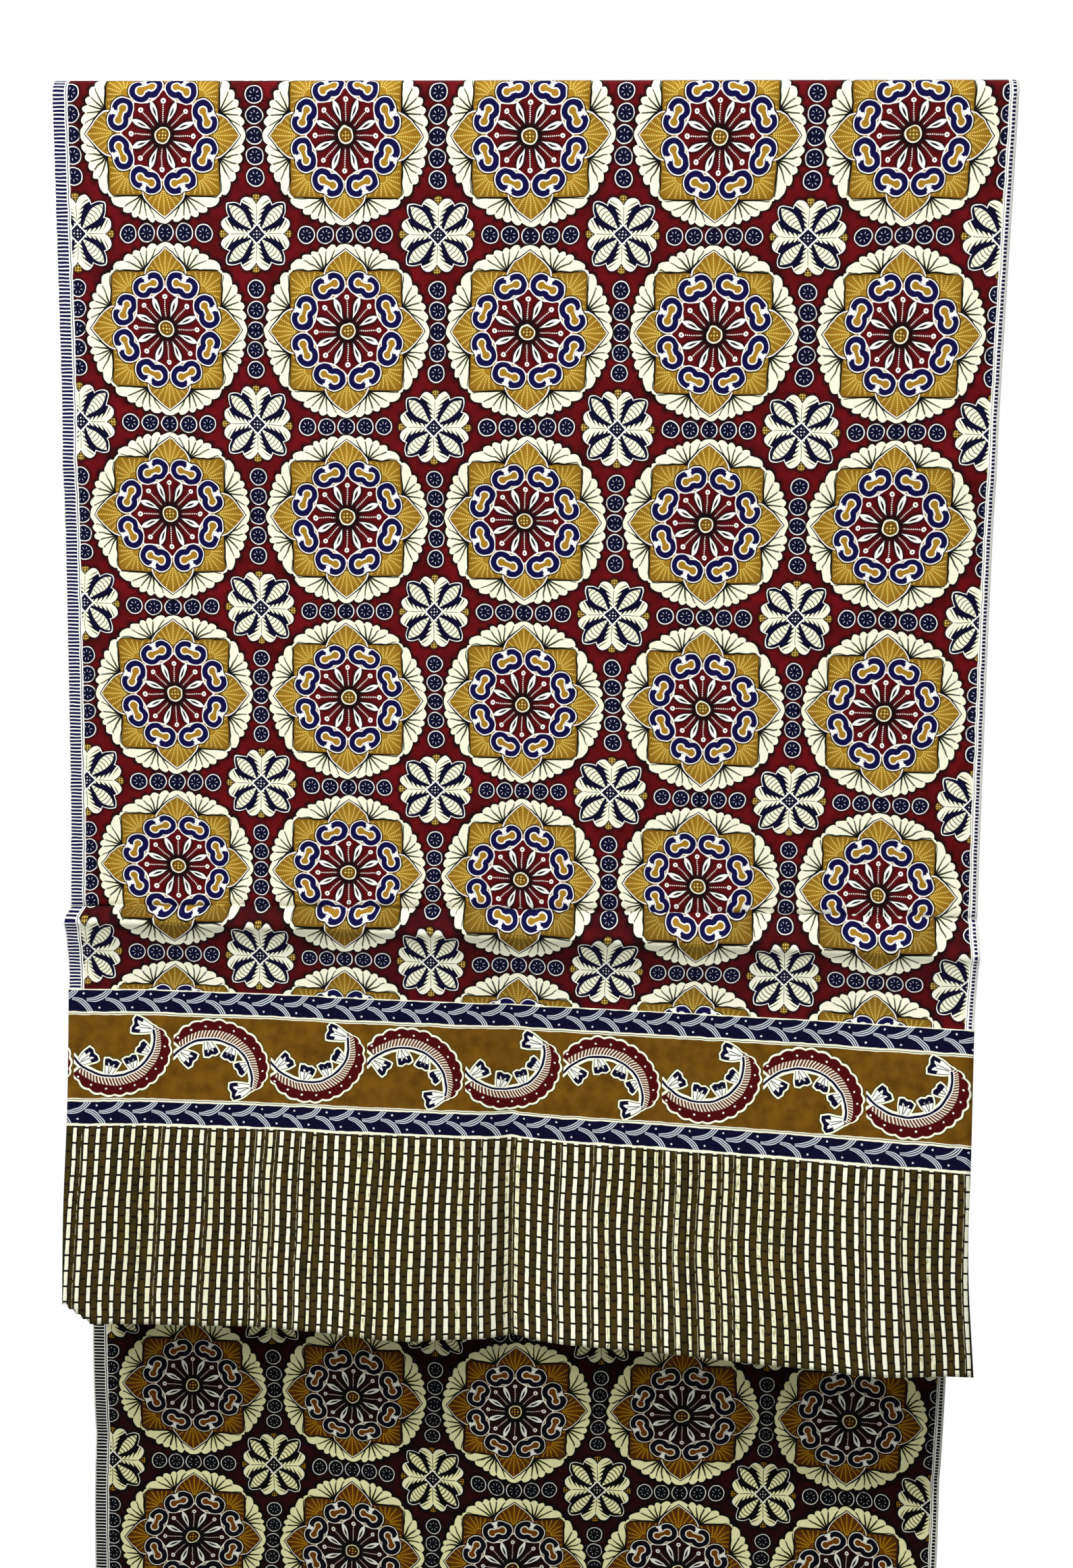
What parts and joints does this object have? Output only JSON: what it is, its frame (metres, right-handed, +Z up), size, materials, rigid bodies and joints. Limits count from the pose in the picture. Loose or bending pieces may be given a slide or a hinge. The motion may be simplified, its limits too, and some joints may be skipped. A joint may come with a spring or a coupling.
{
  "type": "batik cloth",
  "caption": "Long printed batik cloth hung over a line, front end shorter than the back, with medallion field, leaf border and striped end.",
  "frame": {"origin": "underside of the top fold at mid-width, where a line or rod carries the cloth", "axes": "+X to the right as seen from the front, +Y away from the front panel, +Z up"},
  "size_m": [0.532, 0.083, 1.311],
  "materials": {
    "batik_cotton": "matt plain-weave cotton, wax-resist print in maroon, gold, cream and navy"
  },
  "bodies": {
    "root": {"batik_cloth": "batik_cotton"}
  },
  "joints": []
}
